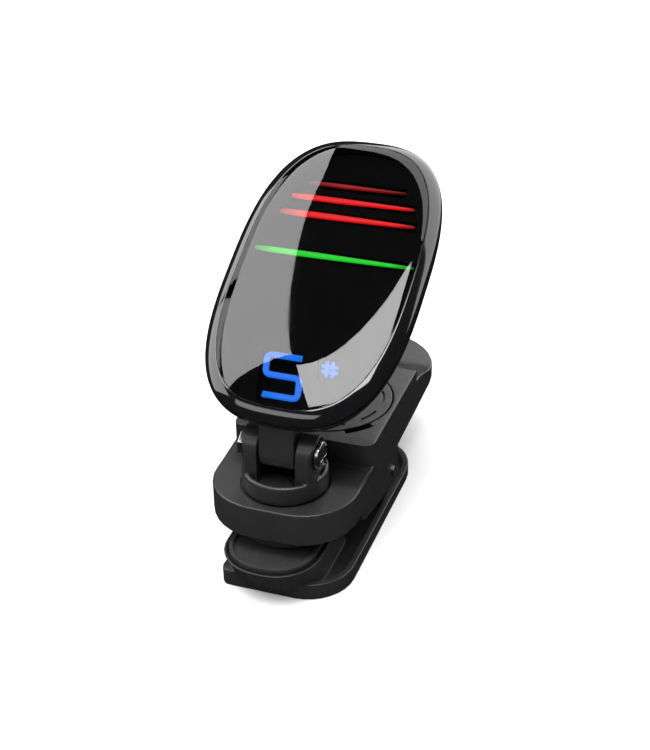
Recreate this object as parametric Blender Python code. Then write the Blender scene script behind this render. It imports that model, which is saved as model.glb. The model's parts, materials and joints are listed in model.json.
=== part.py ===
"""Clip-on tuner: a spring clip with padded jaws, a swivelling and tilting fork, and a display head.

The origin is on the flat underside of the lower arm, straight below the clip's hinge pin. +X is to the
right, -Y is the jaw end, +Y is the thumb tail end, and +Z is up. The clip rests closed.
"""

import math

import bmesh
import bpy

MM = 0.001

# ---- Driving dimensions -------------------------------------------------------------------------------

GAP = 0.3 * MM                  # between pieces that touch
RUNNING = 0.1 * MM              # radial clearance round a turning shaft
WALL = 1.2 * MM                 # moulded walls of the clip
OVERLAP = 0.4 * MM              # how far one shape sinks into another that it is joined to
ARC_STEPS = 8                   # segments in a quarter turn of an outline
CORNER_FLAT = 0.01 * MM         # least half width of the flat between an outline's corners
TURN_STEPS = 32                 # segments in a full turn of a round piece
SHARP = math.radians(35)        # edges sharper than this stay crisp when shaded smooth

CELL_DIAMETER = 20.0 * MM       # standard coin cell
CELL_HEIGHT = 3.2 * MM
CELL_STEP = 0.5 * MM            # height of the narrower negative side
TRAY_WALL = 0.7 * MM
TRAY_FLOOR = 0.5 * MM
TRAY_NOTCH = 1.3 * MM           # half depth of the notch for the positive contact
CELL_INSET = 0.8 * MM           # how much narrower the negative side is
BAY_SLACK = 1.0 * MM            # room in front of and behind the tray, for the contacts
CONTACT_THICKNESS = 0.25 * MM
CONTACT_WIDTH = 4.0 * MM

COVER_THICKNESS = 1.2 * MM
COVER_TURN = 45                 # degrees from locked to released
LUG_REACH = 1.0 * MM
LUG_HEIGHT = 0.8 * MM
LUG_HALF_ANGLE = 9              # degrees
MARK_DEPTH = 0.35 * MM
MARK_RING = (9.6 * MM, 10.0 * MM)
MARK_ANGLE = 22                 # degrees that each mark spans
MARK_PITCH = 40                 # degrees from mark to mark
SLOT_HALF_LENGTH = 5.5 * MM     # coin slot in the cover
SLOT_HALF_WIDTH = 0.9 * MM

PIN_RADIUS = 1.0 * MM
HINGE_HEIGHT = 7.0 * MM
JAW_BOTTOM = 10.0 * MM          # underside of the upper arm at its front edge
UNDERSIDE_RISE = 0.042          # how much the underside climbs towards the tail
DECK_THICKNESS = 6.0 * MM       # depth of the upper arm's front edge
DECK_WALL = 1.6 * MM
DECK_MARGIN = 1.8 * MM          # deck in front of the turntable
DECK_CORNER = 9.4 * MM
BLOCK_CORNER = 2.0 * MM
BLOCK_HEIGHT = 4.3 * MM         # battery block above the deck
TAIL_STEP = 2.3 * MM            # drop behind the battery block
TAIL_RUN = 12.0 * MM            # length of the curved ramp behind the block
TAIL_LENGTH = 35.0 * MM         # hinge pin to the end of the upper tail
TAIL_TIP = 2.3 * MM             # thickness of the upper tail's end
GRIP_GROOVES = ((20.4 * MM, 30), (23.3 * MM, 26))   # radius about the cover, half angle in degrees
GRIP_WIDTH = 0.8 * MM
GRIP_DEPTH = 0.45 * MM
BASE_THICKNESS = 1.4 * MM
CHEEK_THICKNESS = 0.9 * MM
CHEEK_LENGTH = 18.0 * MM        # hinge pin to the front of a cheek
CHEEK_RADIUS = 2.9 * MM
CHEEK_RISE = 3.2 * MM           # how much higher the front of a cheek ends
POST_RADIUS = 2.0 * MM
POST_OFFSET = 0.6 * MM          # base screws behind the battery block's front
PILOT_DEPTH = 2.2 * MM

LOWER_TAIL = 17.0 * MM
LOWER_LIP = 0.9 * MM            # how far the lower arm reaches past the upper one
LOWER_CORNER = 8.0 * MM
NECK_CORNER = 1.6 * MM          # the lower arm's front left corner, where it is no wider than the jaw
NECK_LEDGE = 0.1 * MM           # how far the neck stands out from the jaw's wall
NECK_BACK = 14.5 * MM           # hinge pin to where the neck has widened to the full arm
NECK_SPREAD = 5.0 * MM          # length over which it widens
FLOOR = 1.4 * MM
RIM_FRONT = 3.0 * MM
RIM_TAIL = 2.2 * MM
JAW_NOSE = 5.0 * MM             # how far the raised jaw reaches past the upper arm
JAW_TOP = 6.8 * MM
JAW_WALL = 0.55 * MM
JAW_ROOT = 0.25 * MM            # height above the underside at which the jaw's wall starts
EAR_THICKNESS = 1.6 * MM
EAR_RADIUS = 2.6 * MM
EAR_FOOT = 3.6 * MM             # half length of an ear's foot

PAD_WIDTH = 14.9 * MM
PAD_LENGTH = 20.2 * MM
PAD_CORNER = 6.7 * MM
PAD_BACK_CORNER = 2.0 * MM
PAD_SEAT = 0.9 * MM
PAD_TOP = 7.6 * MM
PAD_RIM = 0.8 * MM
PAD_DISH = 0.4 * MM
UPPER_PAD_LENGTH = 14.6 * MM
UPPER_PAD_SETBACK = 1.4 * MM

COIL_RADIUS = 2.0 * MM
WIRE_RADIUS = 0.4 * MM
COIL_TURNS = 6
COIL_PITCH = 1.4 * MM
SPRING_LEG = 12.0 * MM

TURNTABLE_RADIUS = 7.2 * MM
TURNTABLE_HEIGHT = 3.5 * MM
TURNTABLE_RIM = 0.8 * MM
TURNTABLE_DISH = 1.7 * MM
TURNTABLE_CHAMFER = 0.3 * MM
TURN_CLEARANCE = 0.4 * MM       # turntable to battery block
RECESS_DEPTH = 0.5 * MM
STEM_RADIUS = 2.4 * MM
WASHER_RADIUS = 4.2 * MM
WASHER_THICKNESS = 0.4 * MM
PIEZO_RADIUS = 6.0 * MM
PIEZO_THICKNESS = 0.4 * MM

KNUCKLE_WIDTH = 6.0 * MM
KNUCKLE_RADIUS = 3.0 * MM
FORK_EAR = 3.0 * MM
FORK_EAR_RADIUS = 3.3 * MM
TILT_HEIGHT = 7.2 * MM          # tilt pin above the turntable's underside
TILT_SETBACK = 1.1 * MM         # tilt pin in front of the swivel axis
TILT_HEAD_RADIUS = 2.4 * MM
TILT_HEAD_HEIGHT = 1.0 * MM
TILT_RECESS = 0.5 * MM

HEAD_WIDTH = 34.3 * MM
HEAD_LENGTH = 58.3 * MM
HEAD_SQUARENESS = 2.81          # exponent of the outline: 2 is an ellipse
HEAD_LEAN = 62.2                # degrees from upright, leaning back over the clip
HEAD_BACK = 7.0 * MM            # depth behind the widest line
HEAD_FRONT = 2.8 * MM           # height in front of the widest line
BACK_ROUNDING = 12.0 * MM
FRONT_ROUNDING = 9.0 * MM
HEAD_WALL = 1.3 * MM
HEAD_STEPS = 56                 # segments round the head's outline
BEZEL_WIDTH = 2.0 * MM
PIN_DEPTH = 7.7 * MM            # tilt pin behind the widest line
PIN_OVERLAP = 0.1 * MM          # tilt pin inside the head's lower end

FRAME_DEPTH = 1.9 * MM
BOARD_THICKNESS = 1.0 * MM
BOARD_SIDE = 4.3 * MM           # board edge inside the head's outline
SCREW_SIDE = 7.0 * MM           # head screws off the middle line
SCREW_END = 14.0 * MM           # head screws above and below the middle
SCREW_SHANK = 0.8 * MM
SCREW_HEAD = 1.6 * MM
SCREW_HEAD_HEIGHT = 0.5 * MM
BUTTON_RADIUS = 3.0 * MM
BUTTON_PROUD = 0.4 * MM
BUTTON_TRAVEL = 0.25 * MM
BUTTON_CHAMFER = 0.3 * MM
BUTTON_FLANGE = 0.4 * MM
FLANGE_REACH = 0.8 * MM
BACK_WALL = 1.4 * MM            # wall behind the board
FRAME_POST = 2.0 * MM           # length of the light frame's screw posts
SEAT_FLOOR = 1.05 * MM          # depth of the head screws' counterbores
CHIP = (3.0 * MM, 0.8 * MM, 9.0 * MM)       # half side, thickness, place up the head
SWITCH_HALF = 2.2 * MM

BAR_THICKNESS = 1.5 * MM
GREEN_BAR = (14.0 * MM, 4.2 * MM)                                   # half length, place up the head
RED_BARS = ((12.0 * MM, 12.5 * MM), (11.0 * MM, 16.1 * MM), (8.4 * MM, 19.3 * MM))
NOTE_SIZE = (6.6 * MM, 8.8 * MM)
NOTE_PLACE = (-1.8 * MM, -20.4 * MM)
NOTE_STROKE = 1.3 * MM
NOTE_SLANT = 0.22
SHARP_SIZE = 3.2 * MM
SHARP_STROKE = 0.6 * MM
SHARP_STRETCH = 1.1             # height of the sharp sign over its width
SHARP_PLACE = (5.7 * MM, -17.6 * MM)

# ---- Dimensions that follow ---------------------------------------------------------------------------

CELL_RADIUS = CELL_DIAMETER / 2
TRAY_RADIUS = CELL_RADIUS + GAP + TRAY_WALL
BAY_SIDE = TRAY_RADIUS + GAP
BAY_END = BAY_SIDE + BAY_SLACK
ARM_SIDE = BAY_SIDE + WALL
BLOCK_FRONT = -(BAY_END + WALL)
BLOCK_BACK = BAY_END + WALL
SWIVEL_Y = BLOCK_FRONT - TURN_CLEARANCE - TURNTABLE_RADIUS
JAW_LENGTH = DECK_MARGIN + TURNTABLE_RADIUS - SWIVEL_Y
DECK_TOP = JAW_BOTTOM + DECK_THICKNESS
BLOCK_TOP = DECK_TOP + BLOCK_HEIGHT
DECK_UNDER = DECK_TOP - DECK_WALL
TAIL_SHOULDER = BLOCK_TOP - TAIL_STEP

COVER_BOTTOM = BLOCK_TOP - COVER_THICKNESS
CELL_TOP = COVER_BOTTOM - GAP
CELL_BOTTOM = CELL_TOP - CELL_HEIGHT
LEAF_TOP = CELL_BOTTOM - GAP
TRAY_TOP = LEAF_TOP - CONTACT_THICKNESS - GAP
COVER_HOLE = BAY_SIDE + 0.4 * MM
COVER_RADIUS = COVER_HOLE - GAP

TURNTABLE_BOTTOM = DECK_TOP - RECESS_DEPTH + GAP
TURNTABLE_TOP = TURNTABLE_BOTTOM + TURNTABLE_HEIGHT
TILT_Y = SWIVEL_Y - TILT_SETBACK
TILT_Z = TURNTABLE_BOTTOM + TILT_HEIGHT
FORK_IN = KNUCKLE_WIDTH / 2 + GAP
FORK_OUT = FORK_IN + FORK_EAR

HEAD_A = HEAD_WIDTH / 2
HEAD_B = HEAD_LENGTH / 2
SEAM = GAP / 2
FRAME_TOP = -GAP
FRAME_BOTTOM = FRAME_TOP - FRAME_DEPTH
BOARD_TOP = FRAME_BOTTOM - GAP
BOARD_BOTTOM = BOARD_TOP - BOARD_THICKNESS
PIN_UP = -(HEAD_B - PIN_OVERLAP)


def underside(y):
    """Height of the upper arm's sloping underside."""
    return JAW_BOTTOM + UNDERSIDE_RISE * (y + JAW_LENGTH)


BASE_SCREWS = [(x * (ARM_SIDE - WALL - POST_RADIUS), BLOCK_FRONT + POST_OFFSET) for x in (-1, 1)]
POST_BOTTOM = underside(BASE_SCREWS[0][1]) + BASE_THICKNESS + 2 * GAP
PILOT_TOP = POST_BOTTOM + PILOT_DEPTH

SEAT = SEAT_FLOOR - HEAD_BACK               # bottom of the head screws' counterbores
FRAME_POST_END = FRAME_BOTTOM - FRAME_POST
FLANGE_LOW = BACK_WALL - HEAD_BACK + GAP
FLANGE_HIGH = FLANGE_LOW + BUTTON_FLANGE
SWITCH_BOTTOM = FLANGE_HIGH + BUTTON_TRAVEL + RUNNING / 2


# ---- Modelling tools ----------------------------------------------------------------------------------


def solid(name, points, faces):
    """A mesh object with its faces turned outwards, shaded smooth between its crisp edges."""
    mesh = bpy.data.meshes.new(name)
    mesh.from_pydata(points, [], faces)
    build = bmesh.new()
    build.from_mesh(mesh)
    bmesh.ops.recalc_face_normals(build, faces=build.faces)
    build.to_mesh(mesh)
    build.free()
    mesh.shade_smooth()
    mesh.set_sharp_from_angle(angle=SHARP)
    obj = bpy.data.objects.new(name, mesh)
    bpy.context.scene.collection.objects.link(obj)
    return obj


def loft(name, rings, closed=False):
    """Skins a row of rings that have the same number of points, and caps its two ends.

    A closed row joins its last ring to its first, as round a hoop, and needs no caps.
    """
    count = len(rings[0])
    points = [point for ring in rings for point in ring]
    faces = []
    for i in range(len(rings) if closed else len(rings) - 1):
        low = i * count
        high = (i + 1) % len(rings) * count
        for j in range(count):
            k = (j + 1) % count
            faces.append((low + j, low + k, high + k, high + j))
    if not closed:
        faces.append(tuple(reversed(range(count))))
        faces.append(tuple(range(len(points) - count, len(points))))
    return solid(name, points, faces)


def prism(name, outline, low, high):
    """Raises an (x, y) outline between two heights. A height may be a function of y."""
    low_at = low if callable(low) else lambda y: low
    high_at = high if callable(high) else lambda y: high
    return loft(name, [[(x, y, low_at(y)) for x, y in outline], [(x, y, high_at(y)) for x, y in outline]])


def bar(name, profile, left, right):
    """Draws a (y, z) profile out along X."""
    return loft(name, [[(x, y, z) for y, z in profile] for x in (left, right)])


def turned(name, profile, closed=False):
    """Turns an (r, z) profile about Z: a rod between two flat ends, or a closed profile for a ring."""
    rings = [circle(r, z) for r, z in profile]
    return loft(name, rings, closed)


def circle(radius, height):
    angles = [2 * math.pi * i / TURN_STEPS for i in range(TURN_STEPS)]
    return [(radius * math.cos(a), radius * math.sin(a), height) for a in angles]


def arc(x, y, radius, start, end, steps=ARC_STEPS):
    """Points along an arc about (x, y), from one angle to another in degrees."""
    angles = [math.radians(start + (end - start) * i / steps) for i in range(steps + 1)]
    return [(x + radius * math.cos(a), y + radius * math.sin(a)) for a in angles]


def rounded(side, front, back, front_radius, back_radius):
    """A plan outline from front to back. Each end's corner radius is limited by the half width."""
    front_radius = min(front_radius, side - CORNER_FLAT)
    back_radius = min(back_radius, side - CORNER_FLAT)
    a = side - back_radius
    b = side - front_radius
    return (
        arc(a, back - back_radius, back_radius, 0, 90)
        + arc(-a, back - back_radius, back_radius, 90, 180)
        + arc(-b, front + front_radius, front_radius, 180, 270)
        + arc(b, front + front_radius, front_radius, 270, 360)
    )


def box_outline(x, y, side, end):
    return [(x - side, y - end), (x + side, y - end), (x + side, y + end), (x - side, y + end)]


def sector(inner, outer, start, end):
    """A slice of a ring, between two angles in degrees."""
    return arc(0, 0, outer, start, end) + arc(0, 0, inner, end, start)


def combine(base, operation, tools):
    """Adds a Boolean for each tool, and hides the tool."""
    for tool in tools:
        tool.hide_render = True
        tool.display_type = "WIRE"
        step = base.modifiers.new(tool.name, "BOOLEAN")
        step.operation = operation
        step.solver = "EXACT"
        step.object = tool
    return base


def join(base, *tools):
    return combine(base, "UNION", tools)


def cut(base, *tools):
    return combine(base, "DIFFERENCE", tools)


def keep_inside(base, tool):
    return combine(base, "INTERSECT", [tool])


def place(obj, location=(0, 0, 0), rotation=(0, 0, 0), parent=None):
    """Rotation is in degrees."""
    obj.location = location
    obj.rotation_euler = [math.radians(angle) for angle in rotation]
    obj.parent = parent
    return obj


def empty(name, location, rotation=(0, 0, 0), parent=None):
    axis = bpy.data.objects.new(name, None)
    bpy.context.scene.collection.objects.link(axis)
    return place(axis, location, rotation, parent)


def paint(obj, color, roughness, metallic=0.0):
    """Gives the object a material of its own."""
    material = bpy.data.materials.new(obj.name)
    material.use_nodes = True
    shader = material.node_tree.nodes["Principled BSDF"]
    shader.inputs["Base Color"].default_value = (*color, 1.0)
    shader.inputs["Roughness"].default_value = roughness
    shader.inputs["Metallic"].default_value = metallic
    obj.data.materials.append(material)
    return obj


BLACK_PLASTIC = (0.035, 0.035, 0.037)
GLOSS_BLACK = (0.012, 0.012, 0.013)
BLACK_RUBBER = (0.02, 0.02, 0.02)
STEEL = (0.62, 0.62, 0.64)
BRASS = (0.72, 0.55, 0.25)
BOARD_GREEN = (0.03, 0.16, 0.07)


def cross_screw(name, shank_radius, shank_length, head_radius, head_height, parent=None):
    """A pan-head screw that points up +Z, with the seat of its head at z = 0 and a cross slot below."""
    screw = turned(name, [
        (head_radius * 0.8, -head_height),
        (head_radius, -head_height * 0.7),
        (head_radius, 0),
        (shank_radius, 0),
        (shank_radius, shank_length),
    ])
    half = head_radius * 0.62
    slot = head_radius * 0.13
    floor = -head_height * 0.45
    cutters = [
        prism(f"{name}_slot_{i}", box_outline(0, 0, *size), -head_height - OVERLAP, floor)
        for i, size in enumerate(((half, slot), (slot, half)))
    ]
    for cutter in cutters:
        place(cutter, parent=screw)
    return paint(cut(screw, *cutters), STEEL, 0.3, 1.0)


# ---- Lower arm ----------------------------------------------------------------------------------------


def hinge_ear(name, side, radius, foot_half, foot_height):
    """A plate on one side of the hinge: a round top about the pin, on a straight foot."""
    inner, outer = side
    top = [(y, z + HINGE_HEIGHT) for y, z in arc(0, 0, radius, -10, 190, 2 * ARC_STEPS)]
    profile = top + [(-foot_half, foot_height), (foot_half, foot_height)]
    return bar(name, profile, inner, outer)


def pad_outline(grow):
    """Plan of the lower pad, grown on every side."""
    front = -(JAW_LENGTH + JAW_NOSE - JAW_WALL - GAP)
    back = front + PAD_LENGTH
    corners = (PAD_CORNER + grow, PAD_BACK_CORNER + grow)
    return rounded(PAD_WIDTH / 2 + grow, front - grow, back + grow, *corners)


def lower_jaw():
    """The raised jaw, whose front wall leans forward from the lower arm's front edge to the pad."""
    lean = JAW_NOSE - LOWER_LIP
    grow = GAP + JAW_WALL
    top = pad_outline(grow)
    middle = min(y for _, y in top) + PAD_LENGTH / 2
    shift = lean * (1 - JAW_ROOT / JAW_TOP)
    foot = [(x, y + shift if y < middle else y) for x, y in top]
    jaw = loft("jaw", [[(x, y, JAW_ROOT) for x, y in foot], [(x, y, JAW_TOP) for x, y in top]])
    pocket = prism("jaw_pocket", pad_outline(GAP), JAW_TOP - PAD_SEAT, JAW_TOP + OVERLAP)
    return jaw, pocket


def lower_plan(inset, front_corner, back_corner, neck_corner):
    """Plan of the lower arm. On the left it narrows to the jaw's width in front of the tray."""
    front = -(JAW_LENGTH + LOWER_LIP) + inset
    back = LOWER_TAIL - inset
    side = ARM_SIDE - inset
    neck = PAD_WIDTH / 2 + GAP + JAW_WALL + NECK_LEDGE - inset
    left = [(-side, -NECK_BACK), (-neck, -NECK_BACK - NECK_SPREAD)]
    return (
        arc(side - back_corner, back - back_corner, back_corner, 0, 90)
        + arc(back_corner - side, back - back_corner, back_corner, 90, 180)
        + left
        + arc(neck_corner - neck, front + neck_corner, neck_corner, 180, 270)
        + arc(side - front_corner, front + front_corner, front_corner, 270, 360)
    )


def lower_arm():
    front = -(JAW_LENGTH + LOWER_LIP)
    reach = LOWER_TAIL - front

    def rim(y):
        return RIM_FRONT + (RIM_TAIL - RIM_FRONT) * (y - front) / reach

    arm = prism("lower_arm", lower_plan(0, LOWER_CORNER, LOWER_CORNER + WALL, NECK_CORNER), 0, rim)
    inside = lower_plan(WALL, LOWER_CORNER - WALL, LOWER_CORNER, PAD_CORNER + GAP + JAW_WALL)
    tray = prism("lower_tray", inside, FLOOR, RIM_FRONT + OVERLAP)
    jaw, pocket = lower_jaw()
    ears = []
    for side in (-1, 1):
        outer = side * (ARM_SIDE - WALL - GAP)
        inner = outer - side * EAR_THICKNESS
        ears.append(hinge_ear(f"lower_ear_{side}", (inner, outer), EAR_RADIUS, EAR_FOOT, FLOOR - OVERLAP))
    bore = turned("lower_bore", [(PIN_RADIUS + RUNNING, -ARM_SIDE), (PIN_RADIUS + RUNNING, ARM_SIDE)])
    place(bore, (0, 0, HINGE_HEIGHT), (0, 90, 0))
    cut(arm, tray)
    join(arm, jaw, *ears)
    cut(arm, pocket, bore)
    paint(arm, BLACK_PLASTIC, 0.35)


def lower_pad():
    pad = prism("lower_pad", pad_outline(0), JAW_TOP - PAD_SEAT + GAP, PAD_TOP)
    dish = prism("lower_pad_dish", pad_outline(-PAD_RIM), PAD_TOP - PAD_DISH, PAD_TOP + OVERLAP)
    paint(cut(pad, dish), BLACK_RUBBER, 0.8)


def hinge_pin():
    end = ARM_SIDE
    pin = turned("hinge_pin", [(PIN_RADIUS, -end), (PIN_RADIUS, end)])
    place(pin, (0, 0, HINGE_HEIGHT), (0, 90, 0))
    paint(pin, STEEL, 0.3, 1.0)


def torsion_spring():
    """A wire coil round the pin. Both legs reach back between the tails and press them apart."""
    leg_low = FLOOR + GAP + WIRE_RADIUS - HINGE_HEIGHT
    leg_high = underside(SPRING_LEG) - GAP - WIRE_RADIUS - HINGE_HEIGHT
    rise = math.atan2(leg_high - COIL_RADIUS, SPRING_LEG)
    drop = math.atan2(-COIL_RADIUS - leg_low, SPRING_LEG)
    start = math.pi / 2 + rise
    end = math.pi * 1.5 - drop + 2 * math.pi * (COIL_TURNS - 1)
    steps = COIL_TURNS * 16
    width = COIL_PITCH * COIL_TURNS
    route = [(-width / 2, SPRING_LEG, leg_high)]
    for i in range(steps + 1):
        t = i / steps
        angle = start + (end - start) * t
        route.append((width * (t - 0.5), COIL_RADIUS * math.cos(angle), COIL_RADIUS * math.sin(angle)))
    route.append((width / 2, SPRING_LEG, leg_low))
    curve = bpy.data.curves.new("torsion_spring", "CURVE")
    curve.dimensions = "3D"
    curve.bevel_depth = WIRE_RADIUS
    curve.bevel_resolution = 1
    curve.use_fill_caps = True
    spline = curve.splines.new("POLY")
    spline.points.add(len(route) - 1)
    for point, (x, y, z) in zip(spline.points, route):
        point.co = (x, y, z, 1)
    spring = bpy.data.objects.new("torsion_spring", curve)
    bpy.context.scene.collection.objects.link(spring)
    place(spring, (0, 0, HINGE_HEIGHT))
    paint(spring, STEEL, 0.3, 1.0)


# ---- Upper arm ----------------------------------------------------------------------------------------


def ramp_height(y):
    """Height of the curved ramp behind the battery block, and of the level tip beyond it."""
    tip = underside(TAIL_LENGTH) + TAIL_TIP
    share = min((y - BLOCK_BACK) / TAIL_RUN, 1)
    return tip + (TAIL_SHOULDER - tip) * 0.5 * (1 + math.cos(math.pi * share))


def tail_ramp():
    """(y, z) points from the top of the ramp to the tip of the tail."""
    places = [BLOCK_BACK + TAIL_RUN * i / (2 * ARC_STEPS) for i in range(2 * ARC_STEPS + 1)]
    return [(y, ramp_height(y)) for y in places + [TAIL_LENGTH + OVERLAP]]


def upper_arm_shell():
    beyond = JAW_LENGTH + OVERLAP
    profile = [(-beyond, underside(-beyond)), (TAIL_LENGTH + OVERLAP, underside(TAIL_LENGTH + OVERLAP))]
    profile += reversed(tail_ramp())
    profile += [(BLOCK_BACK, BLOCK_TOP), (-beyond, BLOCK_TOP)]
    shell = bar("upper_arm_shell", profile, -ARM_SIDE - OVERLAP, ARM_SIDE + OVERLAP)
    plan = rounded(ARM_SIDE, -JAW_LENGTH, TAIL_LENGTH, DECK_CORNER, ARM_SIDE)
    keep_inside(shell, prism("upper_plan", plan, 0, BLOCK_TOP + OVERLAP))

    # The deck is what is left when the block's front and its two front corners are cut away.
    side = ARM_SIDE - BLOCK_CORNER
    corner = BLOCK_FRONT + BLOCK_CORNER
    front_cut = [(-ARM_SIDE - OVERLAP, -beyond), (ARM_SIDE + OVERLAP, -beyond), (ARM_SIDE + OVERLAP, corner)]
    front_cut += arc(side, corner, BLOCK_CORNER, 0, -90)
    front_cut += arc(-side, corner, BLOCK_CORNER, -90, -180)
    front_cut += [(-ARM_SIDE - OVERLAP, corner)]
    deck = prism("deck_cut", front_cut, DECK_TOP, BLOCK_TOP + OVERLAP)

    inner = ARM_SIDE - WALL
    hollow = rounded(inner, -JAW_LENGTH + WALL, BAY_END, DECK_CORNER - WALL, BLOCK_CORNER)
    lower_hollow = prism("lower_hollow", hollow, HINGE_HEIGHT, DECK_UNDER)
    bay_plan = rounded(inner, -BAY_END, BAY_END, BLOCK_CORNER, BLOCK_CORNER)
    bay = prism("bay", bay_plan, HINGE_HEIGHT, COVER_BOTTOM - GAP)
    mouth = turned("cover_mouth", [(COVER_HOLE, CELL_TOP - OVERLAP), (COVER_HOLE, BLOCK_TOP + OVERLAP)])
    cut(shell, deck, lower_hollow, bay, mouth, *lug_tracks())

    recess = turned("deck_recess", [
        (TURNTABLE_RADIUS + GAP, DECK_TOP - RECESS_DEPTH),
        (TURNTABLE_RADIUS + GAP, DECK_TOP + OVERLAP),
    ])
    stem_hole = turned("stem_hole", [
        (STEM_RADIUS + RUNNING, DECK_UNDER - OVERLAP),
        (STEM_RADIUS + RUNNING, DECK_TOP + OVERLAP),
    ])
    for cutter in (recess, stem_hole):
        place(cutter, (0, SWIVEL_Y, 0))
    cut(shell, recess, stem_hole, *grip_grooves())

    join(shell, *cheeks(), *screw_posts())
    wide = ARM_SIDE + OVERLAP
    bore = turned("cheek_bore", [(PIN_RADIUS + RUNNING, -wide), (PIN_RADIUS + RUNNING, wide)])
    place(bore, (0, 0, HINGE_HEIGHT), (0, 90, 0))
    pilots = [
        place(turned(f"pilot_{x:+.3f}", [(SCREW_SHANK + GAP, 0), (SCREW_SHANK + GAP, PILOT_TOP)]), (x, y, 0))
        for x, y in BASE_SCREWS
    ]
    cut(shell, bore, *pilots)
    paint(shell, BLACK_PLASTIC, 0.35)


def lug_tracks():
    """Room under the cover's rim for its two lugs to turn in, with a gate at the released end."""
    reach = COVER_RADIUS + LUG_REACH + GAP
    slack = LUG_HALF_ANGLE + 3
    low = COVER_BOTTOM - GAP - OVERLAP
    high = COVER_BOTTOM + LUG_HEIGHT
    tracks = []
    for i, middle in enumerate((90, 270)):
        turn = sector(COVER_HOLE - OVERLAP, reach, middle - slack, middle + COVER_TURN + slack)
        gate = sector(COVER_HOLE - OVERLAP, reach, middle + COVER_TURN - slack, middle + COVER_TURN + slack)
        tracks.append(prism(f"lug_track_{i}", turn, low, high))
        tracks.append(prism(f"lug_gate_{i}", gate, low, BLOCK_TOP + OVERLAP))
    return tracks


def grip_grooves():
    """Two curved thumb grooves that follow the tail's ramp at an even depth."""
    grooves = []
    for i, (radius, half) in enumerate(GRIP_GROOVES):
        rings = []
        for x, y in arc(0, 0, 1, 90 - half, 90 + half, 2 * ARC_STEPS):
            low = ramp_height(radius * y) - GRIP_DEPTH
            outer = radius + GRIP_WIDTH
            section = [(radius, low), (outer, low), (outer, BLOCK_TOP), (radius, BLOCK_TOP)]
            rings.append([(r * x, r * y, z) for r, z in section])
        grooves.append(loft(f"grip_groove_{i}", rings))
    return grooves


def cheeks():
    """Skirts that hang from the shell's side walls and carry the hinge pin."""
    plates = []
    for side in (-1, 1):
        inner = side * (ARM_SIDE - WALL)
        outer = inner + side * CHEEK_THICKNESS
        nose = arc(CHEEK_RADIUS - CHEEK_LENGTH, HINGE_HEIGHT + CHEEK_RISE, CHEEK_RADIUS, 180, 270)
        round_end = arc(0, HINGE_HEIGHT, CHEEK_RADIUS, 270, 360)
        top = underside(0) + WALL
        profile = nose + round_end + [(CHEEK_RADIUS, top), (-CHEEK_LENGTH, top)]
        plates.append(bar(f"cheek_{side}", profile, inner, outer))
    return plates


def screw_posts():
    """Posts that hang from the deck for the base plate's two screws, each with a short web to its wall."""
    profile = [(POST_RADIUS, POST_BOTTOM), (POST_RADIUS, DECK_UNDER + OVERLAP)]
    posts = [place(turned(f"post_{x:+.3f}", profile), (x, y, 0)) for x, y in BASE_SCREWS]
    for x, y in BASE_SCREWS:
        plan = box_outline(x + math.copysign(POST_RADIUS, x), y, OVERLAP, POST_RADIUS / 2)
        posts.append(prism(f"post_web_{x:+.3f}", plan, POST_BOTTOM - RUNNING, DECK_UNDER + OVERLAP / 2))
    return posts


def upper_arm_base():
    side = ARM_SIDE - WALL - GAP
    front = -JAW_LENGTH + WALL + GAP
    corner = DECK_CORNER - WALL - GAP
    plan = rounded(side, front, BAY_END - GAP, corner, BLOCK_CORNER)
    base = prism("upper_arm_base", plan, underside, lambda y: underside(y) + BASE_THICKNESS)
    holes = []
    shank = SCREW_SHANK + GAP
    head = SCREW_HEAD + GAP
    for x, y in BASE_SCREWS:
        through = turned(f"base_hole_{x:+.3f}", [(shank, JAW_BOTTOM), (shank, DECK_TOP)])
        seat = turned(f"base_seat_{x:+.3f}", [(head, HINGE_HEIGHT), (head, base_seat(y))])
        holes += [place(through, (x, y, 0)), place(seat, (x, y, 0))]
    paint(cut(base, *holes), BLACK_PLASTIC, 0.4)


def base_seat(y):
    """Height of the ledge that a base screw's head sits under."""
    return underside(y) + SCREW_HEAD_HEIGHT + GAP


def base_screws():
    for name, (x, y) in zip(("base_screw_left", "base_screw_right"), BASE_SCREWS):
        height = base_seat(y) - GAP
        screw = cross_screw(name, SCREW_SHANK, PILOT_TOP - GAP - height, SCREW_HEAD, SCREW_HEAD_HEIGHT)
        place(screw, (x, y, height))


def upper_pad():
    front = -JAW_LENGTH + UPPER_PAD_SETBACK
    plan = rounded(PAD_WIDTH / 2, front, front + UPPER_PAD_LENGTH, PAD_CORNER, PAD_BACK_CORNER)
    pad = prism("upper_pad", plan, PAD_TOP + GAP, lambda y: underside(y) - GAP)
    paint(pad, BLACK_RUBBER, 0.8)


def battery_tray():
    """A floor with a round wall for the cell, notched at the front for the positive contact."""
    floor = TRAY_TOP - TRAY_FLOOR
    tray = turned("battery_tray", [
        (TRAY_RADIUS, floor),
        (TRAY_RADIUS, CELL_TOP - 2 * GAP),
        (TRAY_RADIUS - TRAY_WALL, CELL_TOP - 2 * GAP),
        (TRAY_RADIUS - TRAY_WALL, TRAY_TOP),
    ])
    gap = box_outline(0, -TRAY_RADIUS, CONTACT_WIDTH / 2 + GAP, TRAY_NOTCH)
    notch = prism("tray_notch", gap, floor - OVERLAP, CELL_TOP)
    paint(cut(tray, notch), BLACK_PLASTIC, 0.5)


def coin_cell():
    narrow = CELL_RADIUS - CELL_INSET
    cell = turned("coin_cell", [
        (narrow, CELL_BOTTOM),
        (narrow, CELL_BOTTOM + CELL_STEP),
        (CELL_RADIUS, CELL_BOTTOM + CELL_STEP),
        (CELL_RADIUS, CELL_TOP),
    ])
    paint(cell, STEEL, 0.25, 1.0)


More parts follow.
